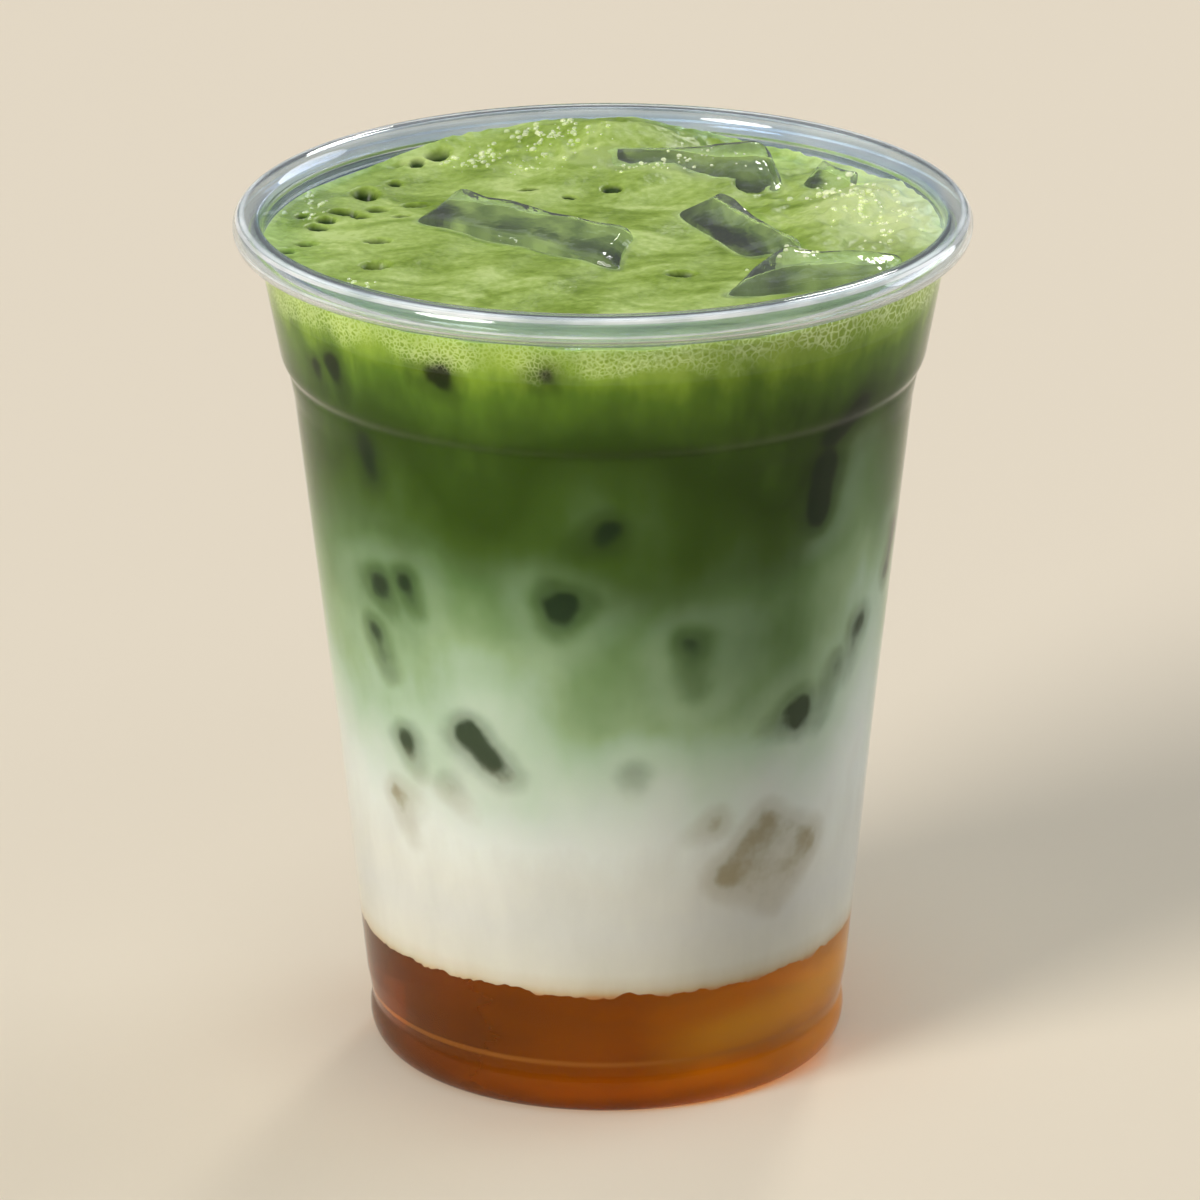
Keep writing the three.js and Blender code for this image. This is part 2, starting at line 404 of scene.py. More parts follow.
# %% [markdown]
# Clear PET is glossy, with faint haze and shallow waves from the drawing. A plain glass
# shader would cast a black shadow into the drink, so lamps are let straight through: the
# shader is swapped for a transparent one where a ray only asks how much light arrives.
# The wall gets a low bending number, which keeps it from mirroring the floor over the
# dark tea at its edges. The curled rim is thicker and mirrors more. It's a little milky
# and neutral outside. Its inner side looks up at the sky, so its colour there is a painted
# reflection of the pale blue sky. Two thin broken white lines round the outside are painted
# highlights, where the bend of the curl catches the light.

# %% Materials of the cup
WALL_IOR = 1.22
RIM_IOR = 1.5
RIM_CLEARNESS = 0.95
HIGHLIGHT_CLEARNESS = 0.1
BARE_HEIGHT = 112.9
# Distances from the axis between which the curl's inner side and its outer side begin
INNER_SIDE = (46.2, 45.3)
OUTER_SIDE = (47.2, 47.5)
# (height, half width, strength) of the painted highlight lines round the curl, lengths in mm
RIM_HIGHLIGHTS = [(116.7, 0.3, 0.9), (114.8, 0.16, 0.6)]


def clear_material(name, tints, ior, haze, ripple_mm, ripple_depth, lamp_tint, clearness=1.0, gloss="ffffff"):
    """A clear solid: it bends sight, and lets the lamps through with a tint."""
    material, tree, coords = new_material(name)
    ripple = pattern(tree, "TexNoise", coords, ripple_mm, Detail=3.0)
    bump = add(tree, "Bump", Strength=1.0, Distance=ripple_depth * MM, Height=ripple)
    blur = add(tree, "MapRange", i0=ripple, i1=0.3, i2=0.7, i3=haze * 0.6, i4=haze * 1.5)
    tint = add(tree, "MixRGB", Fac=ripple, Color1=colour(tints[0]), Color2=colour(tints[1]))
    body = add(tree, "BsdfPrincipled", Base_Color=tint, Roughness=blur, Normal=bump, IOR=ior,
               Transmission_Weight=clearness, Specular_Tint=colour(gloss))
    through = add(tree, "BsdfTransparent", Color=colour(lamp_tint))
    asks_light = add(tree, "LightPath").outputs["Is Shadow Ray"]
    mixed = add(tree, "MixShader", i0=asks_light, i1=body, i2=through)
    output = add(tree, "OutputMaterial", Surface=mixed)
    return material, tree, coords, output, body


pet = clear_material("clear_drawn_pet", ("f2f8fa", "fafdfe"), WALL_IOR, haze=0.03, ripple_mm=14,
                     ripple_depth=0.04, lamp_tint="f8fbfb")[0]
rim, tree, coords, _, body = clear_material(
    "curled_pet_rim", ("dfe8ee", "f6f9fa"), RIM_IOR, haze=0.02, ripple_mm=9, ripple_depth=0.04,
    lamp_tint="f0f6fa", clearness=RIM_CLEARNESS)
flat = add(tree, "VectorMath", TIMES, i0=coords, i1=(1, 1, 0))
from_axis = add(tree, "VectorMath", {"operation": "LENGTH"}, i0=flat).outputs["Value"]
inner = add(tree, "MapRange", i0=from_axis, i1=INNER_SIDE[0] * MM, i2=INNER_SIDE[1] * MM)
streaks = pattern(tree, "TexNoise", coords, 12, (1, 1, 4), Detail=3.0)
# Painted reflection: the curl's inner side takes the pale blue of the sky it faces
sky_reflection = add(tree, "MixRGB", Fac=streaks, Color1=colour("8fb0dc"), Color2=colour("dfe9f4"))
outer = add(tree, "MixRGB", Fac=streaks, Color1=colour("d8e2e8"), Color2=colour("fbfdfd"))
tint = add(tree, "MixRGB", Fac=inner, Color1=outer, Color2=sky_reflection)
height = add(tree, "SeparateXYZ", i0=coords).outputs["Z"]
# Painted highlights: two thin white, less clear lines round the outside of the curl, where its bend catches
# the light
highlights = []
for middle, half_width, strength in RIM_HIGHLIGHTS:
    off = add(tree, "Math", MINUS, i0=height, i1=middle * MM)
    off = add(tree, "Math", {"operation": "ABSOLUTE"}, i0=off)
    highlights.append(add(tree, "MapRange", SOFT, i0=off, i1=half_width * MM,
                     i2=half_width * 0.4 * MM, i4=strength))
highlight = add(tree, "Math", {"operation": "MAXIMUM"}, i0=highlights[0], i1=highlights[1])
outward = add(tree, "MapRange", i0=from_axis, i1=OUTER_SIDE[0] * MM, i2=OUTER_SIDE[1] * MM)
highlight = add(tree, "Math", TIMES, i0=highlight, i1=outward)
broken = add(tree, "MapRange", i0=streaks, i1=0.35, i2=0.6, i3=0.45)
highlight = add(tree, "Math", TIMES, i0=highlight, i1=broken)
tint = add(tree, "MixRGB", Fac=highlight, Color1=tint, Color2=colour("ffffff"))
tree.links.new(tint.outputs[0], body.inputs["Base Color"])
clear = add(tree, "MapRange", i0=highlight, i3=RIM_CLEARNESS, i4=HIGHLIGHT_CLEARNESS)
tree.links.new(clear.outputs[0], body.inputs["Transmission Weight"])
dress(cup, pet, "cup", "cup")
cup.data.materials.append(rim)
for face in cup.data.polygons:
    face.material_index = int(face.center.z > BARE_HEIGHT * MM)
print("rim faces:", sum(face.material_index for face in cup.data.polygons))

# %% [markdown]
# ## Where the drink meets the wall
# Plastic and drink touch, with no air between them. If the two surfaces were set side by
# side, a thin line of air would shine between them, so the drink is drawn a little way
# into the wall. The first function says how wide the drink is at each height, and the
# second one gives the points of its outline along the wall.

# %% Measures of the drink
INTO_WALL = 0.35
SYRUP_TOP = 18.2
MATCHA_TOP = 107
FOAM_TOP = 111.6

smooth_wall = softened(wall_line(0), 0.5)


def drink_radius(heights):
    """How wide the drink is at each height, in mm."""
    line_heights = [height for radius, height in smooth_wall]
    line_radii = [radius for radius, height in smooth_wall]
    return np.interp(heights, line_heights, line_radii) - INTO_WALL


def wall_rows(low, high, step):
    """Points up the wall between two heights."""
    heights = np.linspace(low, high, max(2, math.ceil((high - low) / step) + 1))
    return list(zip(drink_radius(heights), heights))


# %% [markdown]
# ## Ice
# Each piece that stands out of the froth follows its node: the four corners of its upper
# face, a foot that is shifted and a little narrower, and all edges worn round by melting.
# A cube is cut into small faces, its corners are carried to their places, and the rest of
# its points follow in between. A gentle noise then gives the hollows that water makes.
# Its seed is set, or the ice would melt a little differently in each run.

# %% Shape the ice pieces
ICE = {
    "ice_left": (((-25.8, 8.8, 112.9), (2.2, -11.2, 113.4), (4.4, 1.2, 114.0), (-20.4, 16.4, 115.4)),
                 (-1, -2, -20), 0.95),
    "ice_back": (((-9.0, 28.4, 112.2), (25.6, 19.4, 112.2), (22.6, 33.6, 116.9), (-4.0, 33.6, 114.7)),
                 (-1, -1, -21), 0.9),
    "ice_middle": (((8.6, 12.8, 112.3), (19.4, -8.2, 112.5), (26.4, -5.2, 113.9), (15.4, 14.9, 115.3)),
                   (0, 1, -17), 0.9),
    "ice_front": (((14.4, -23.4, 112.6), (36.6, -19.8, 113.8), (39.3, -13.0, 114.7), (24.0, -12.4, 116.2)),
                  (-2, -3, -19), 0.95),
    "ice_corner": (((26.8, 22.4, 113.2), (32.2, 18.8, 113.6), (34.8, 22.6, 114.7), (29.6, 28.0, 115.0)),
                   (-1, -2, -10), 0.85),
}
MELT = 0.7
MELT_SIZE = 6
MELT_SEED = 5
noise.seed_set(MELT_SEED)
ICE_BEVEL = 0.1
ICE_CUTS = 6


def rounded_cube(name, bevel, cuts):
    """A cube one mm wide with worn edges and faces cut small."""
    deselect()
    bpy.ops.mesh.primitive_cube_add(size=MM, location=(0, 0, 0))
    piece = bpy.context.object
    piece.name = name
    edit_all()
    bpy.ops.mesh.bevel(offset=bevel * MM, segments=4, affect="EDGES")
    bpy.ops.mesh.select_all(action="SELECT")
    bpy.ops.mesh.subdivide(number_cuts=cuts)
    bpy.ops.mesh.select_all(action="SELECT")
    bpy.ops.mesh.remove_doubles(threshold=0.0001 * MM)
    bpy.ops.mesh.normals_make_consistent(inside=False)
    bpy.ops.object.mode_set(mode="OBJECT")
    return piece


def ice_points(unit, upper, foot, spread, shrink):
    """Carries points of a unit cube to an ice piece, shrunk all round by a few tenths."""
    near_left, near_right, far_right, far_left = (np.array(corner) for corner in upper)
    middle = (near_left + near_right + far_right + far_left) / 4
    sizes = [np.linalg.norm(run) for run in (near_right - near_left, far_right - near_right, foot)]
    across, along, down = ((0.5 + sign * unit[:, axis] * (1 - 2 * shrink / size))[:, None]
                           for axis, sign, size in zip((0, 1, 2), (1, 1, -1), sizes))
    front = near_left + (near_right - near_left) * across
    back = far_left + (far_right - far_left) * across
    point = front + (back - front) * along - middle
    return middle + point * (1 + (spread - 1) * down) + np.array(foot) * down


def melted(points, depth, size, seed):
    """Presses soft hollows into a surface."""
    shift = Vector((seed * 7.1, seed * 3.3, seed * 5.7))
    waves = np.array([noise.noise_vector(Vector(point) / size + shift)[:] for point in points])
    return points + waves * depth


ice_pieces = []
for number, (name, (upper, foot, spread)) in enumerate(ICE.items()):
    piece = rounded_cube(name + "_melted", ICE_BEVEL, ICE_CUTS)
    move_to(piece, melted(ice_points(places(piece), upper, foot, spread, 0), MELT, MELT_SIZE, number))
    ice_pieces.append((name, piece))
print("ice pieces:", len(ice_pieces))

# %% [markdown]
# Clear ice bends light less than plastic does. Its surface is wet and smooth over long
# soft waves. The froth that runs over it leaves a thin milky film, which is why it looks
# grey green and never quite clear.

# %% Material of the ice
ICE_IOR = 1.31
ice_material = clear_material("clear_wet_ice", ("dce6da", "fafcf8"), ICE_IOR, haze=0.015, ripple_mm=5.5,
                              ripple_depth=0.7, lamp_tint="e6efe0", clearness=0.92)[0]
for name, piece in ice_pieces:
    dress(piece, ice_material, "ice", name)

# %% [markdown]
# ## Sunken ice
# The drink is full of ice that mostly can't be seen. Where a piece comes near the wall,
# the milky tea over it is thin, and it shows as a dark soft-edged window. So the sunken
# pieces are really made, at the heights and bearings where the photo shows a window, and
# spread evenly round the sides that it doesn't show. Each one is a cube that swings and
# nods until an edge, a corner or a face looks outward, and then leans to one side. Its
# points are held just inside the drink, which flattens whatever presses on the wall.

# %% Where the sunken ice lies
# (bearing, height, edge in mm, press on the wall in mm, swing, nod, lean in degrees)
SEEN_ICE = [
    (-53.5, 104.4, 7, 0.3, 45, 32, -20), (-59, 102.9, 5, -0.1, 45, 25, -15),
    (-28, 107.0, 8, 0.3, 45, 26, 84), (-9.6, 108.5, 5, -0.2, 45, 30, 70),
    (-49.5, 94.6, 9, -0.35, 45, 10, -14), (-49, 73.6, 12, -0.1, 50, 32, -30),
    (-42, 75.3, 6, -0.05, 45, 22, -25), (-8.5, 75.0, 13, 0.5, 45, 35, 14),
    (0.8, 86.0, 14, -0.1, 45, 24, 62), (-52.5, 66.8, 9, -0.35, 45, 13, -20),
    (45, 91.4, 11, 0.45, 45, 9, 6), (52, 98.8, 10, 0.0, 45, 14, 48), (78, 75.3, 9, 0.0, 45, 10, 20),
    (62, 65.7, 13, -0.3, 45, 18, 18), (16.5, 69.4, 11, -0.5, 30, 14, -8),
    (55, 61.2, 13, -0.7, 45, 12, 25), (-46, 52.1, 8, -0.05, 45, 18, -22),
    (-29, 55.4, 12, 0.3, 52, 14, -42), (-51, 43.0, 10, -0.3, 24, 20, -20),
    (-35, 46.5, 8, -0.7, 45, 25, -40), (43.5, 56.0, 14, 0.5, 45, 28, 75),
    (36, 41.5, 15, -0.3, 7, 5, 36), (5.9, 50.6, 8, -0.8, 45, 30, 0),
    (24, 42.5, 9, -0.5, 45, 24, 60),
]
HIDDEN_ICE = 18
# The hidden pieces go round the back, each a golden part of the span on from the last one
HIDDEN_FROM = 97
HIDDEN_SPAN = 166
GOLDEN_PART = 0.382
random.seed(7)
sunken = list(SEEN_ICE)
for number in range(HIDDEN_ICE):
    bearing = HIDDEN_FROM + HIDDEN_SPAN * ((number * GOLDEN_PART) % 1)
    height = 32 + 70 * (number + 0.5) / HIDDEN_ICE
    sunken.append((bearing, height, random.uniform(10, 17), random.uniform(-0.4, 0.9),
                   random.uniform(15, 60), random.uniform(0, 38), random.uniform(-60, 60)))
print("sunken pieces:", len(sunken))


# %% Shape the sunken ice
def turn_about(axis, degrees):
    """A turn about one axis, for rows of points."""
    angle = math.radians(degrees)
    first, second = [(1, 2), (2, 0), (0, 1)][axis]
    made = np.eye(3)
    made[first, first] = made[second, second] = math.cos(angle)
    made[first, second], made[second, first] = math.sin(angle), -math.sin(angle)
    return made


SUNKEN_BEVEL = 0.2
SUNKEN_CUTS = 2
SUNKEN_MELT = 0.35
SUNKEN_MELT_SIZE = 4
SKIN_OF_DRINK = 0.12
cubes = []
for number, (bearing, height, edge, press, swing, nod, lean) in enumerate(sunken):
    cube = rounded_cube("sunken_cube", SUNKEN_BEVEL, SUNKEN_CUTS)
    local = melted(places(cube) * edge, SUNKEN_MELT, SUNKEN_MELT_SIZE, number + 20)
    local = local @ turn_about(2, swing) @ turn_about(0, nod) @ turn_about(1, lean)
    outward = -local[:, 1]
    nearest = outward > outward.max() - 0.4
    local[:, 2] += height - local[nearest, 2].mean()
    local[:, 0] -= local[nearest, 0].mean()
    local[:, 1] -= float(drink_radius(height)) + press - outward.max()
    side = math.radians(bearing)
    x = local[:, 0] * math.cos(side) - local[:, 1] * math.sin(side)
    y = local[:, 0] * math.sin(side) + local[:, 1] * math.cos(side)
    radius = np.hypot(x, y)
    held = np.minimum(1, (drink_radius(local[:, 2]) - SKIN_OF_DRINK) / np.maximum(radius, 1e-6))
    upright = np.clip(local[:, 2], SYRUP_TOP + 1, FOAM_TOP - 0.6)
    move_to(cube, np.column_stack((x * held, y * held, upright)))
    cubes.append(cube)
pick(*cubes)
bpy.ops.object.join()
sunken_ice = bpy.context.object
sunken_ice.name = "sunken_ice"
dress(sunken_ice, ice_material, "ice")

# %% [markdown]
# ## The milk and the tea
# Milk, marbled tea and dark tea have no skin between them: they drift into each other.
# One body stands for all three, from the syrup up to the froth, and its colour is a
# matter of height. The beds of the ice pieces are cut out of it, a hair smaller than the
# ice, so that sight through the ice lands on wet green tea and not in the open.

# %% Shape the body of the drink
BED = 0.2
DRINK_STEPS = 480
# How far the milk's lower edge strays in slow waves and in small tongues, in mm
WAVES = 0.35
RAGGED = 0.6


def cut_beds(piece):
    """Cuts the ice pieces' beds out of a piece."""
    for number, (name, (upper, foot, spread)) in enumerate(ICE.items()):
        cutter = rounded_cube("cutter", ICE_BEVEL, ICE_CUTS)
        move_to(cutter, melted(ice_points(places(cutter), upper, foot, spread, BED), MELT, MELT_SIZE, number))
        pick(piece)
        cut = piece.modifiers.new("bed", "BOOLEAN")
        cut.operation = "DIFFERENCE"
        cut.solver = "MANIFOLD"
        cut.object = cutter
        bpy.ops.object.modifier_apply(modifier="bed")
        bpy.data.objects.remove(cutter)


def ragged(points, rows):
    """Makes the edge between milk and syrup uneven, as where one drifts into the other."""
    x, y = points[rows, 0], points[rows, 1]
    angle, radius = np.arctan2(y, x), np.hypot(x, y)
    waves = np.sin(2 * angle + 0.6) + 0.45 * np.sin(5 * angle - 1.2)
    uneven = [noise.fractal(Vector((px / 3.5, py / 3.5, 2.0)), 0.6, 2.0, 5) for px, py in zip(x, y)]
    points[rows, 2] += WAVES * (radius / RIM_RADIUS) * waves + RAGGED * np.minimum(1, radius / 30) * uneven


bottom = SYRUP_TOP - 0.15
drink_outline = [(0, bottom), (15, bottom), (25, bottom)] + wall_rows(bottom, MATCHA_TOP, 0.6)
drink_outline += [(30, MATCHA_TOP), (15, MATCHA_TOP), (0, MATCHA_TOP)]
drink = turned("milk_and_tea", drink_outline, DRINK_STEPS)
points = places(drink)
ragged(points, points[:, 2] < bottom + 0.01)
move_to(drink, points)
cut_beds(drink)

# %% [markdown]
# ## How the layers billow
# The tea was poured over milk, so it hangs down in lobes and the milk climbs between
# them. Each point of the wall gets a height of its own, bent by slow noise and by the
# lobes that the photo shows, and the colours below follow that bent height. Nearness to
# the sunken ice is measured too, with a search tree over its faces.

# %% Measure the billows and the ice behind the wall
# (bearing, height, half width in degrees, half height in mm, how much the colours shift in mm)
LOBES = [
    (-24, 87.7, 11, 7, 6), (0, 91, 13, 6, -3), (-56, 78, 10, 9, -5), (25, 92, 8, 7, 3),
    (53, 84, 10, 14, -9), (19, 75, 14, 11, 4), (4, 81, 10, 6, 3), (-32, 74, 5, 9, -2),
    (-24, 63, 10, 5, -6), (-62, 57, 9, 6, 5), (0, 58, 8, 7, 5), (18, 62, 9, 7, 7),
    (36, 60, 8, 7, 6), (66, 62, 8, 14, -8), (29, 54, 9, 5, 3), (-36, 97, 12, 5, 3),
    (-63, 88, 13, 8, 6), (39, 86, 9, 9, 5),
]
FAR = 6.0


def bent_height(points):
    """Heights bent by the billows, in mm, for rows of points in mm."""
    bearing = np.degrees(np.arctan2(points[:, 0], -points[:, 1]))
    z = points[:, 2]
    bend = np.zeros(len(points))
    for number, (px, py, pz) in enumerate(points):
        slow = noise.noise(Vector((px / 17, py / 17, pz / 13 + 5)))
        quick = noise.fractal(Vector((px / 7, py / 7, pz / 8 + 2)), 0.8, 2.0, 3)
        bend[number] = 6.0 * slow + 2.2 * quick
    for at, height, half_width, half_height, shift in LOBES:
        away = ((bearing - at) / half_width) ** 2 + ((z - height) / half_height) ** 2
        bend += shift * np.exp(-0.4 * away ** 1.6)
    full = np.clip((z - 30) / 18, 0, 1) * np.clip((106 - z) / 12, 0, 1)
    return z + bend * full


def search_tree(piece):
    """A tree of a piece's faces, to find the nearest one quickly."""
    faces = [tuple(face.vertices) for face in piece.data.polygons]
    return BVHTree.FromPolygons([point.co for point in piece.data.vertices], faces)


ice_tree = search_tree(sunken_ice)


def nearest_to(some_tree, piece):
    """How near a piece comes to each point, in mm."""
    made = np.full(len(piece.data.vertices), FAR)
    for number, point in enumerate(piece.data.vertices):
        found = some_tree.find_nearest(point.co, FAR * MM)
        if found[0] is not None:
            made[number] = found[3] / MM
    return made


def note_wall(piece):
    """Stores the bent heights, the nearness of sunken ice and the beds of the rest on a piece."""
    note_values(piece, "bent", bent_height(places(piece)))
    note_values(piece, "ice_away", nearest_to(ice_tree, piece))
    beds = np.min([nearest_to(search_tree(ice_piece), piece) for name, ice_piece in ice_pieces], axis=0)
    note_values(piece, "bed", np.clip((0.6 - beds) / 0.3, 0, 1))


note_wall(drink)
print("lobes:", len(LOBES))

# %% [markdown]
# The colour climbs from cream through white milk, grey green and deep green to the
# bright green under the froth, and fine noise drawn out upwards leaves wisps in it.
# Near the ice the colour sinks to a dark tint, because light that enters clear ice
# doesn't come back, and a faint ring of milk clings round the window. Against the wall
# the froth is a lace of bubbles, coarser and paler on the right.

# %% Colours seen through the wall
WATER_IOR = 1.33
# The drink touches the wall, so next to no gloss of its own shows there
TOUCHING_IOR = 1.1
LAYERS = [
    (17.6, "a8733c"), (18.2, "baa684"), (19.2, "c5bba5"), (21, "cbc6b7"), (27, "cac7bd"),
    (33, "cecbbf"), (40, "cfd0c6"), (46, "c4cabc"), (52, "b4c0aa"), (58, "a2b497"), (64, "8a9f75"),
    (70, "71895a"), (76, "5b7544"), (82, "4d6434"), (88, "3e551a"), (93.5, "30460b"),
    (98, "354c11"), (101, "445d1a"), (105, "587420"), (108, "829d30"), (112, "a0b548"),
]
LOW = 15.0
HIGH = 115.0
# Dark tints of the ice windows at the same heights
WINDOWS = [
    (20, "9a8a6a"), (45, "968e74"), (48, "6a6c56"), (51, "39442f"), (66, "2c3d26"),
    (80, "1a2b14"), (104, "18270c"), (112, "2c2a14"),
]


def wall_colour(tree, coords):
    """The colour of the drink as seen through the wall."""
    bent = add(tree, "Attribute", {"attribute_name": "bent"}).outputs["Fac"]
    wisps = pattern(tree, "TexNoise", coords, 6, (1, 1, 0.4), Detail=4.0, Roughness=0.6)
    drift = add(tree, "MapRange", i0=wisps, i1=0.25, i2=0.75, i3=-2.6, i4=2.6)
    above = add(tree, "MapRange", i0=bent, i1=24.0, i2=40.0, i3=0.12)
    drift = add(tree, "Math", TIMES, i0=drift, i1=above)
    frayed = add(tree, "Math", PLUS, i0=bent, i1=drift)
    up = add(tree, "SeparateXYZ", i0=coords).outputs["Z"]
    true_height = add(tree, "Math", OVER, i0=up, i1=MM)
    ramps = []
    for stops, height in ((LAYERS, frayed), (WINDOWS, true_height)):
        share = add(tree, "MapRange", i0=height, i1=LOW, i2=HIGH)
        ramp = add(tree, "ValToRGB", Fac=share)
        set_stops(ramp, [((place - LOW) / (HIGH - LOW), code) for place, code in stops])
        ramps.append(ramp)
    away = add(tree, "Attribute", {"attribute_name": "ice_away"}).outputs["Fac"]
    speckle = pattern(tree, "TexNoise", coords, 2.2, Detail=2.0)
    uneven = add(tree, "MapRange", i0=speckle, i1=0.3, i2=0.7, i3=-0.14, i4=0.14)
    away = add(tree, "Math", PLUS, i0=away, i1=uneven)
    marbled = add(tree, "MapRange", i0=bent, i1=48.0, i2=56.0)
    thinner = add(tree, "MapRange", i0=bent, i1=86.0, i2=76.0)
    ring = between(tree, away, 1.0, 2.8, 2.8, 6.0)
    ring = add(tree, "Math", TIMES, i0=ring, i1=add(tree, "Math", TIMES, i0=marbled, i1=thinner))
    ring = add(tree, "Math", TIMES, i0=ring, i1=0.1)
    ringed = add(tree, "MixRGB", Fac=ring, Color1=ramps[0], Color2=colour("cfdccd"))
    veil = add(tree, "MapRange", SOFT, i0=away, i1=2.5, i2=0.7, i4=0.4)
    core = add(tree, "MapRange", SOFT, i0=away, i1=0.95, i2=0.2, i4=0.58)
    window = add(tree, "Math", {"operation": "ADD", "use_clamp": True}, i0=veil, i1=core)
    seen = add(tree, "MixRGB", Fac=window, Color1=ringed, Color2=ramps[1])
    shade = add(tree, "MapRange", i0=wisps, i1=0.3, i2=0.7, i3=0.96, i4=1.04)
    return add(tree, "MixRGB", {"blend_type": "MULTIPLY"}, Fac=1.0, Color1=seen, Color2=shade)


print("layers:", len(LAYERS))


# %% The lace of bubbles at the wall
def bubble_lace(tree, coords, under):
    """Bubbles of the froth where it touches the wall, over the colour under them."""
    place = add(tree, "SeparateXYZ", i0=coords)
    height = add(tree, "Math", OVER, i0=place.outputs["Z"], i1=MM)
    edge = pattern(tree, "TexNoise", coords, 8, Detail=3.0)
    lift = add(tree, "MapRange", i0=edge, i1=0.25, i2=0.75, i3=-2.4, i4=2.4)
    frayed = add(tree, "Math", PLUS, i0=height, i1=lift)
    band = add(tree, "MapRange", i0=frayed, i1=107.9, i2=110.0)
    right = add(tree, "MapRange", i0=place.outputs["X"], i1=-10 * MM, i2=30 * MM)
    stir = pattern(tree, "TexNoise", coords, 1.6, Detail=2.0).outputs["Color"]
    stir = add(tree, "VectorMath", {"operation": "SCALE"}, i0=stir, i3=0.9 * MM)
    stirred = add(tree, "VectorMath", PLUS, i0=coords, i1=stir)
    edges = {"feature": "DISTANCE_TO_EDGE"}
    fine_walls = pattern(tree, "TexVoronoi", stirred, 0.62, settings=edges)
    big_walls = pattern(tree, "TexVoronoi", stirred, 1.0, settings=edges)
    patches = add(tree, "MapRange", i0=edge, i1=0.38, i2=0.6, i3=0.5, i4=1.0)
    fine_lace = add(tree, "MapRange", i0=fine_walls, i1=0.22, i2=0.02, i4=0.45)
    big_lace = add(tree, "MapRange", i0=big_walls, i1=0.17, i2=0.02, i4=0.9)
    lace = add(tree, "Mix", i0=right, i2=fine_lace, i3=big_lace)
    lace = add(tree, "Math", TIMES, i0=lace, i1=add(tree, "Math", TIMES, i0=band, i1=patches))
    laced = add(tree, "MixRGB", Fac=lace, Color1=under, Color2=colour("e8f1b2"))
    hollows = add(tree, "MapRange", i0=fine_walls, i1=0.26, i2=0.5, i4=0.42)
    hollows = add(tree, "Math", TIMES, i0=hollows, i1=band)
    return add(tree, "MixRGB", Fac=hollows, Color1=laced, Color2=colour("627f1e"))


def milky_shader(tree, tint, gloss, **links):
    """Milk lets light wander inside it, which softens every shade."""
    shader = add(tree, "BsdfPrincipled", Base_Color=tint, Roughness=gloss, Subsurface_Weight=0.25,
                 Subsurface_Radius=(1.0, 1.0, 0.7), Subsurface_Scale=0.8 * MM, **links)
    return add(tree, "OutputMaterial", Surface=shader)


def with_beds(tree, coords, tint):
    """The wet sides of the beds, seen through the ice: froth above, darker tea below."""
    bed = add(tree, "Attribute", {"attribute_name": "bed"}).outputs["Fac"]
    wet = pattern(tree, "TexNoise", coords, 5, Detail=2.0)
    height = add(tree, "SeparateXYZ", i0=coords).outputs["Z"]
    wave = add(tree, "MapRange", i0=wet, i1=0.3, i2=0.7, i3=-4 * MM, i4=4 * MM)
    height = add(tree, "Math", PLUS, i0=height, i1=wave)
    depth = add(tree, "MapRange", i0=height, i1=96 * MM, i2=114 * MM)
    tones = add(tree, "ValToRGB", Fac=depth)
    set_stops(tones, [(0.0, "44562a"), (0.35, "4a5e2c"), (0.65, "647a38"), (1.0, "a3b866")])
    return add(tree, "MixRGB", Fac=bed, Color1=tint, Color2=tones)


material, tree, coords = new_material("milk_marbled_with_matcha")
tint = with_beds(tree, coords, bubble_lace(tree, coords, wall_colour(tree, coords)))
milky_shader(tree, tint, 0.4, IOR=TOUCHING_IOR)
dress(drink, material, "matcha_milk", "milk", "matcha_milk", "matcha")

# %% [markdown]
# ## Syrup
# The syrup is a clear amber body under the milk. It fills the channel inside the foot
# bead, and its top reaches a hair into the milk. It is drawn like the cup, only inside it.

# %% Shape the syrup
SYRUP_STEPS = 240
syrup_top = SYRUP_TOP + 0.2
floor_height = FLOOR_LIFT + INTO_WALL
syrup_outline = [(0, floor_height), (15, floor_height), (FLOOR_RADIUS + 0.3, floor_height)]
syrup_outline += [(RING_INNER + 0.8, INTO_WALL)]
syrup_outline += bead(INTO_WALL) + wall_line(INTO_WALL)[:2] + wall_rows(11, syrup_top, 0.8)
syrup_outline = [(radius - 0.02 if radius > 1 else radius, height) for radius, height in syrup_outline]
syrup_outline += [(20, syrup_top), (10, syrup_top), (0, syrup_top)]
syrup = turned("amber_syrup", syrup_outline, SYRUP_STEPS)
points = places(syrup)
ragged(points, points[:, 2] > syrup_top - 0.01)
move_to(syrup, points)

# %% [markdown]
# Syrup swallows blue light and much green, which leaves amber. It's a little cloudy, so
# it holds light of its own colour. A round foot gathers the light from the left on its
# right side, and that light is painted into the body's tint: it runs from brown on the
# left to gold on the right, with a painted curved bright band low on the right where the
# light comes to a point, and a thin pale painted highlight along the crease above the foot bead.

# %% Material of the syrup
SYRUP_IOR = 1.4
syrup_material, tree, coords, output, body = clear_material(
    "cooked_sugar_syrup", ("ffffff", "ffffff"), SYRUP_IOR, haze=0.02, ripple_mm=8, ripple_depth=0,
    lamp_tint="f0cc98", clearness=0.52, gloss="404040")
depth = add(tree, "VolumeAbsorption", Color=colour("fad800"), Density=60.0)
tree.links.new(depth.outputs[0], output.inputs["Volume"])
place = add(tree, "SeparateXYZ", i0=coords)
across = add(tree, "MapRange", i0=place.outputs["X"], i1=-30 * MM, i2=30 * MM)
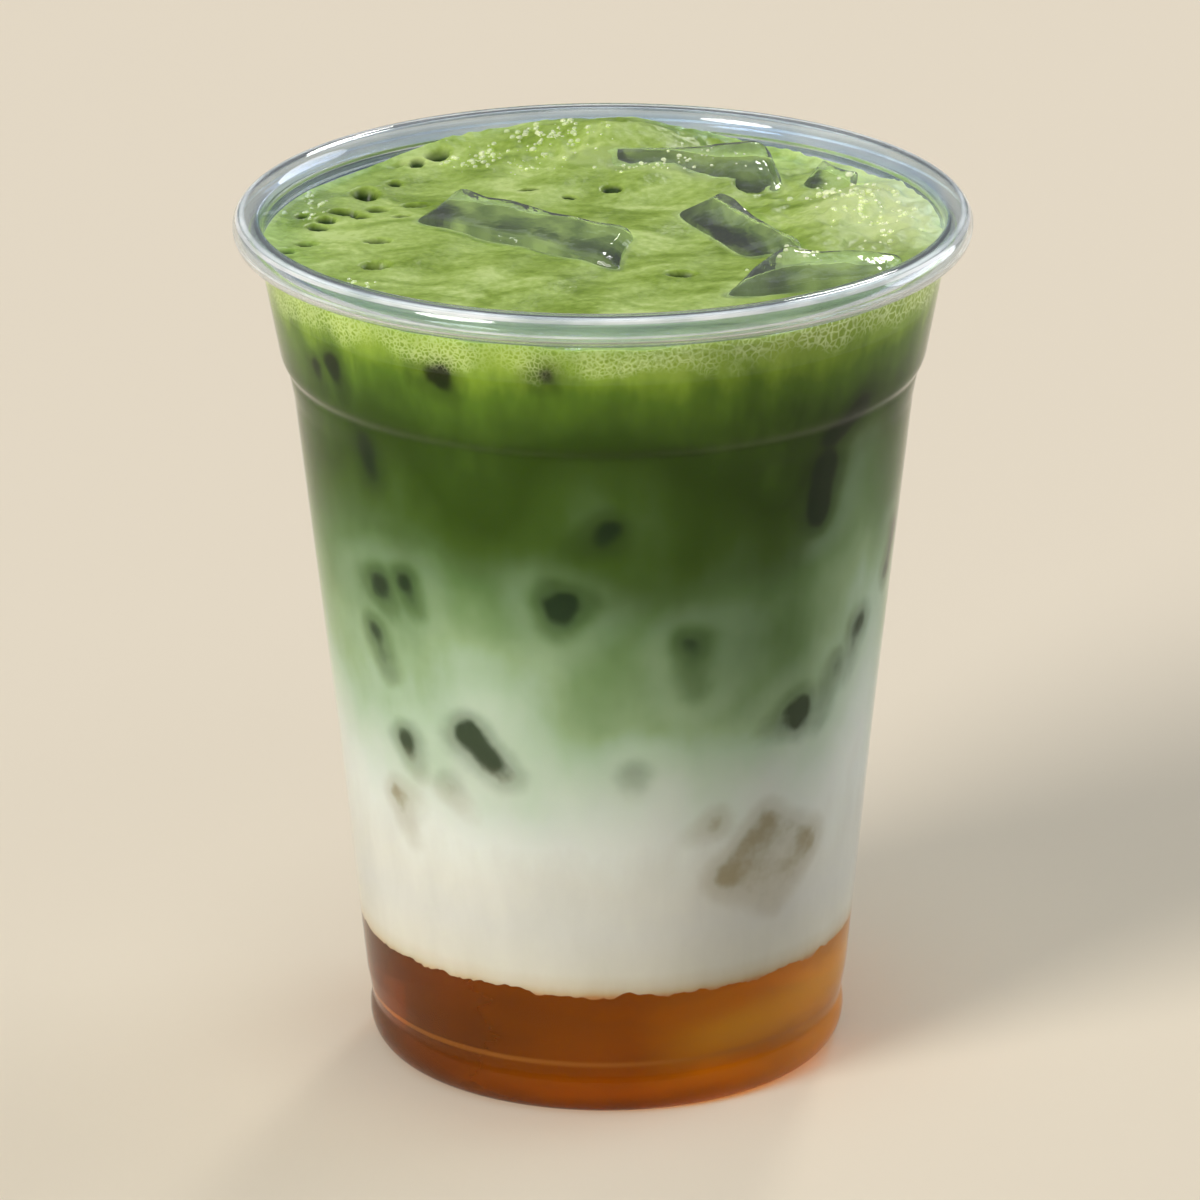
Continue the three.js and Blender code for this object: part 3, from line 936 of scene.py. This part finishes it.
# Painted light: the tint runs from brown on the left to gold on the right, where the round foot gathers the
# light from the left
sides = add(tree, "ValToRGB", Fac=across)
set_stops(sides, [(0.0, "70390a"), (0.3, "8e4a06"), (0.55, "b05c04"), (0.8, "e88a08"), (1.0, "f5a224")])
clouds = pattern(tree, "TexNoise", coords, 9, (0.6, 0.6, 2.2), Detail=3.0, Distortion=0.5)
cloudy = add(tree, "MapRange", i0=clouds, i1=0.35, i2=0.75, i4=0.35)
tinted = add(tree, "MixRGB", Fac=cloudy, Color1=sides, Color2=colour("5c2a06"))
height = add(tree, "Math", OVER, i0=place.outputs["Z"], i1=MM)
# Painted light: a curved bright band low on the right, where the gathered light comes to a point
bow = add(tree, "Math", TIMES, i0=place.outputs["X"], i1=150.0)
rise = add(tree, "Math", MINUS, i0=height, i1=bow)
painted_focus = between(tree, rise, 3.0, 8.0, 8.5, 13.0)
on_right = add(tree, "MapRange", SOFT, i0=place.outputs["X"], i1=4 * MM, i2=20 * MM)
painted_focus = add(tree, "Math", TIMES, i0=painted_focus, i1=on_right)
with_painted_light = add(tree, "MixRGB", Fac=painted_focus, Color1=tinted, Color2=colour("ffb024"))
# Painted highlight: a thin pale line along the crease above the foot bead
crease_highlight = between(tree, height, 6.9, 7.5, 7.6, 8.1, 0.5)
with_painted_light = add(tree, "MixRGB", Fac=crease_highlight, Color1=with_painted_light, Color2=colour("d08a38"))
tree.links.new(with_painted_light.outputs[0], body.inputs["Base Color"])
dress(syrup, syrup_material, "syrup", "syrup")

# %% [markdown]
# ## Froth
# The froth is whisked tea: a stiff crowd of bubbles too small to see, with larger ones
# that popped and left pits. It lies low in front, climbs at the back over sunken ice,
# and wets the wall. Its relief is a sum of named heaps, the same as the solid's, with a
# fine grain on top, and the pits are pressed in last.

# %% Shape the froth
def heap(x, y, centre_x, centre_y, half_x, half_y, height):
    """A soft heap on the froth."""
    return height * np.exp(-0.5 * (((x - centre_x) / half_x) ** 2 + ((y - centre_y) / half_y) ** 2))


def foam_relief(x, y):
    """The top of the froth above FOAM_TOP, as in the solid."""
    heaps = heap(x, y, 1, 40, 9.5, 5.5, 3.9) + heap(x, y, -15, 40, 9, 6, 1.2) + heap(x, y, 6, 26, 9, 3.5, 1.1)
    heaps += heap(x, y, 34, 13, 4.5, 5.5, 1.9) + heap(x, y, 41, 2, 2.6, 9, 1.2) + heap(x, y, 30, 2, 3, 6, 0.7)
    billows = 0.22 * np.sin(0.23 * x + 0.9) * np.cos(0.19 * y - 0.4) + 0.14 * np.sin(0.52 * x - 0.31 * y)
    from_wall = np.maximum(drink_radius(FOAM_TOP) - np.hypot(x, y), 0)
    return 0.55 * (1 + y / RIM_RADIUS) + heaps + billows + 0.5 * np.exp(-from_wall / 1.4)


# Popped bubbles: (x, y, half width, half depth, how deep), all in mm
PITS = [
    (-32.0, 21.1, 1.7, 2.6, 2.4), (-25.0, 17.0, 1.9, 1.1, 1.6), (-30.2, 15.2, 1.5, 1.1, 1.3),
    (-34.7, 13.3, 2.0, 1.1, 1.4), (-32.4, 12.0, 1.2, 0.9, 1.1), (-36.9, 10.2, 1.3, 1.0, 1.2),
    (-38.0, 7.5, 1.5, 1.1, 1.3), (-39.3, 0.8, 1.5, 0.9, 1.3), (-29.9, 0.8, 1.8, 0.9, 1.5),
    (-41.9, -2.7, 1.3, 1.0, 1.0), (-28.2, 25.7, 0.9, 1.1, 1.0), (-33.6, 31.7, 0.9, 1.5, 1.2),
    (-25.3, 33.1, 1.0, 1.6, 1.3), (-36.7, 30.8, 1.2, 1.3, 1.1), (-27.0, 11.5, 1.2, 0.8, 0.9),
    (-41.3, 18.3, 0.8, 1.6, 1.0), (1.3, 22.0, 1.4, 1.2, 1.0), (10.2, -13.6, 2.0, 1.3, 1.6),
    (-28.4, 34.2, 1.8, 2.4, 2.2), (-22.6, 36.0, 1.7, 2.4, 2.2), (-29.8, -8.8, 1.9, 1.9, 3.0),
    (19.9, 23.4, 1.9, 2.8, 3.4), (-4.5, 19.5, 1.0, 0.5, 0.6), (-10.0, 22.0, 1.5, 0.7, 0.9),
    (-13.0, 15.0, 2.2, 1.6, 1.6), (-7.0, 4.5, 1.2, 0.8, 0.7), (-40.3, 11.5, 0.8, 0.9, 0.8),
    (-38.6, 22.5, 0.8, 1.2, 0.8),
]
# Pits fade out over the last two mm before this distance from the axis
PIT_REACH = 43.6


def pit_depths(x, y):
    """How far each point lies in a pit, from 0 to 1, and how deep that is in mm."""
    share = np.zeros_like(x)
    depth = np.zeros_like(x)
    for centre_x, centre_y, half_x, half_y, deep in PITS:
        away = np.hypot((x - centre_x) / half_x, (y - centre_y) / half_y)
        inside_pit = 1 - np.clip((away - 0.55) / 0.6, 0, 1)
        soft = inside_pit ** 2 * (3 - 2 * inside_pit) * np.clip((PIT_REACH - np.hypot(x, y)) / 2, 0, 1)
        share = np.maximum(share, soft)
        depth = np.maximum(depth, soft * deep)
    return share, depth


def grain(x, y):
    """Lumps and fine bubbles, rougher on the right and at the back."""
    rough = heap(x, y, 36, 12, 9, 16, 1.0) + heap(x, y, 0, 38, 20, 6, 0.6)
    made = []
    for px, py, extra in zip(x, y, rough):
        lumps = noise.fractal(Vector((px / 9, py / 9, 0.3)), 0.9, 2.1, 4)
        small = noise.noise(Vector((px / 1.3, py / 1.3, 4.2)))
        crest = 1 - 2 * abs(noise.noise(Vector((px / 2.6, py / 3.4, 9.1))))
        made.append(0.16 * lumps + 0.035 * small + extra * (0.75 * crest + 0.3 * lumps + 0.15 * small))
    return np.array(made)


# The rows at the wall rise as the froth does at this distance from the axis
EDGE_RADIUS = 44.9
bottom = MATCHA_TOP - 0.05
foam_outline = [(0, bottom), (15, bottom), (30, bottom)] + wall_rows(bottom, FOAM_TOP, 0.5)
rings = np.arange(float(drink_radius(FOAM_TOP)) - 0.4, 0.3, -0.4)
foam_outline += [(radius, FOAM_TOP) for radius in rings] + [(0, FOAM_TOP)]
foam = turned("froth", foam_outline, DRINK_STEPS)
points = places(foam)
x, y, z = points.T
radius = np.hypot(x, y)
top = z > FOAM_TOP - 0.01
share, depth = pit_depths(x[top], y[top])
z[top] += foam_relief(x[top], y[top]) + grain(x[top], y[top]) - depth
side = ~top & (radius > drink_radius(MATCHA_TOP) - 1) & (z > bottom + 0.01)
edge_x, edge_y = x[side] / radius[side] * EDGE_RADIUS, y[side] / radius[side] * EDGE_RADIUS
lift = foam_relief(edge_x, edge_y) + grain(edge_x, edge_y)
z[side] += lift * (z[side] - bottom) / (FOAM_TOP - bottom)
at_wall = radius > drink_radius(MATCHA_TOP) - 1
full = np.where(z > WALL_TOP, RIM_RADIUS - 2 * ROLL_HALF_WIDTH + 0.2, drink_radius(z))
rim_share = np.where(at_wall & side, full / np.maximum(radius, 1e-6), 1)
points[:, 0] *= rim_share
points[:, 1] *= rim_share
points[:, 2] = z
move_to(foam, points)
cut_beds(foam)
points = places(foam)
share, depth = pit_depths(points[:, 0], points[:, 1])
note_values(foam, "pit", np.where(points[:, 2] > FOAM_TOP - 4, share, 0))
note_wall(foam)
print("pits:", len(PITS))

# %% [markdown]
# Froth is pale where its bubbles are smallest and greener where they are wet or worn. It
# has slow streaks, a fine mottle and dark wet pits, and its skin glistens in places. Seen
# through the wall it takes the same colours as the tea below it, so no seam shows.

# %% Material of the froth
material, tree, coords = new_material("whisked_matcha_froth")
wall_tint = bubble_lace(tree, coords, wall_colour(tree, coords))
streak = pattern(tree, "TexNoise", coords, 13, (1, 1.5, 1), Detail=5.0, Distortion=0.9)
mottle = pattern(tree, "TexNoise", coords, 1.1, Detail=2.0)
tone = add(tree, "Mix", i0=0.25, i2=streak, i3=mottle)
tones = add(tree, "ValToRGB", Fac=add(tree, "MapRange", i0=tone, i1=0.38, i2=0.64))
set_stops(tones, [(0.0, "768f30"), (0.3, "8ba440"), (0.65, "a2ba5a"), (1.0, "bccf7c")])
spot = add(tree, "SeparateXYZ", i0=coords)
right = add(tree, "MapRange", i0=spot.outputs["X"], i1=26 * MM, i2=40 * MM)
back = add(tree, "MapRange", i0=spot.outputs["Y"], i1=-12 * MM, i2=6 * MM)
whipped = add(tree, "Math", TIMES, i0=add(tree, "Math", TIMES, i0=right, i1=back), i1=0.75)
paler = add(tree, "MixRGB", Fac=whipped, Color1=tones, Color2=colour("d8e2ae"))
upward = add(tree, "SeparateXYZ", i0=add(tree, "NewGeometry").outputs["Normal"]).outputs["Z"]
on_top = add(tree, "MapRange", i0=upward, i1=0.15, i2=0.4)
tint = add(tree, "MixRGB", Fac=on_top, Color1=wall_tint, Color2=paler)
pit = add(tree, "Attribute", {"attribute_name": "pit"}).outputs["Fac"]
pit_share = add(tree, "MapRange", i0=pit, i1=0.05, i2=0.55)
tint = add(tree, "MixRGB", Fac=pit_share, Color1=tint, Color2=colour("30460f"))
tint = with_beds(tree, coords, tint)
bubbles = pattern(tree, "TexVoronoi", coords, 0.6, settings={"feature": "F1"})
bump = add(tree, "Bump", Strength=0.45, Distance=0.08 * MM, Height=bubbles)
gloss = add(tree, "MapRange", i0=streak, i1=0.4, i2=0.62, i3=0.3, i4=0.55)
milky_shader(tree, tint, gloss, Normal=bump, IOR=WATER_IOR)
dress(foam, material, "foam", "foam")

# %% [markdown]
# ## Wet bubbles
# Where the froth was stirred last, single bubbles still stand on it and glint. One is
# modelled as half a small ball, cut off at the bottom, and the others are copies of it at
# random sizes, joined into one piece.

# %% Shape the wet bubbles
# (x, y, half width, half depth, how many, largest radius), lengths in mm
# The last two lie on the ice, as drops of melt
BUBBLE_BEDS = [
    (-17, 33.5, 4.5, 2.6, 60, 0.45), (-6, 38, 5.5, 3.6, 85, 0.5), (-33, -17.5, 2.4, 1.6, 22, 0.4),
    (-2, -42.5, 6, 0.6, 26, 0.35), (-38.5, 15, 2.0, 7, 30, 0.45), (36, 8, 5, 10, 90, 0.5),
    (31, 17, 3, 3, 30, 0.6), (-10, 31, 4, 2, 24, 0.35), (20, -34, 9, 3, 26, 0.3),
    (5, 28.5, 6, 1.5, 26, 0.35),
    (26, -14, 4, 1.6, 26, 0.4), (14, 30, 7, 2, 26, 0.4),
]
ice_trees = [search_tree(piece) for name, piece in ice_pieces]
ABOVE_ALL = 130


def ground_height(x, y):
    """The height of the froth at one place, or of the ice where that is higher."""
    froth = FOAM_TOP + foam_relief(x, y) + grain(x, y) - pit_depths(x, y)[1]
    start = Vector((x[0], y[0], ABOVE_ALL)) * MM
    hits = [ice.ray_cast(start, Vector((0, 0, -1)))[0] for ice in ice_trees]
    return max([froth[0]] + [hit.z / MM for hit in hits if hit])


deselect()
bpy.ops.mesh.primitive_ico_sphere_add(subdivisions=2, radius=MM, location=(0, 0, 0))
dome = bpy.context.object
edit_all()
bpy.ops.mesh.bisect(plane_co=(0, 0, -0.3 * MM), plane_no=(0, 0, -1), use_fill=True, clear_outer=True)
bpy.ops.object.mode_set(mode="OBJECT")
unit_dome = places(dome)
dome_faces = [tuple(face.vertices) for face in dome.data.polygons]
random.seed(11)
bubble_points, bubble_faces = [], []
for centre_x, centre_y, half_x, half_y, count, largest in BUBBLE_BEDS:
    for number in range(count):
        x = np.array([centre_x + random.gauss(0, half_x * 0.6)])
        y = np.array([centre_y + random.gauss(0, half_y * 0.6)])
        size = largest * random.uniform(0.35, 1) ** 1.6
        if np.hypot(x, y)[0] > drink_radius(FOAM_TOP) - size:
            continue
        place = np.array([x[0], y[0], ground_height(x, y) + 0.1 * size])
        first = len(bubble_points) * len(unit_dome)
        bubble_points.append(unit_dome * size * (1, 1, 0.8) + place)
        bubble_faces += [tuple(first + corner for corner in face) for face in dome_faces]
bubbles_mesh = bpy.data.meshes.new("wet_bubbles")
bubbles_mesh.from_pydata((np.vstack(bubble_points) * MM).tolist(), [], bubble_faces)
wet_bubbles = bpy.data.objects.new("wet_bubbles", bubbles_mesh)
bpy.context.collection.objects.link(wet_bubbles)
bpy.data.objects.remove(dome)
film = clear_material("tea_bubble_film", ("eef2cf", "fdfdf2"), WATER_IOR, haze=0.03, ripple_mm=2,
                      ripple_depth=0, lamp_tint="f4f8e0", clearness=0.55)[0]
dress(wet_bubbles, film, "foam")
print("bubbles:", len(bubble_points))
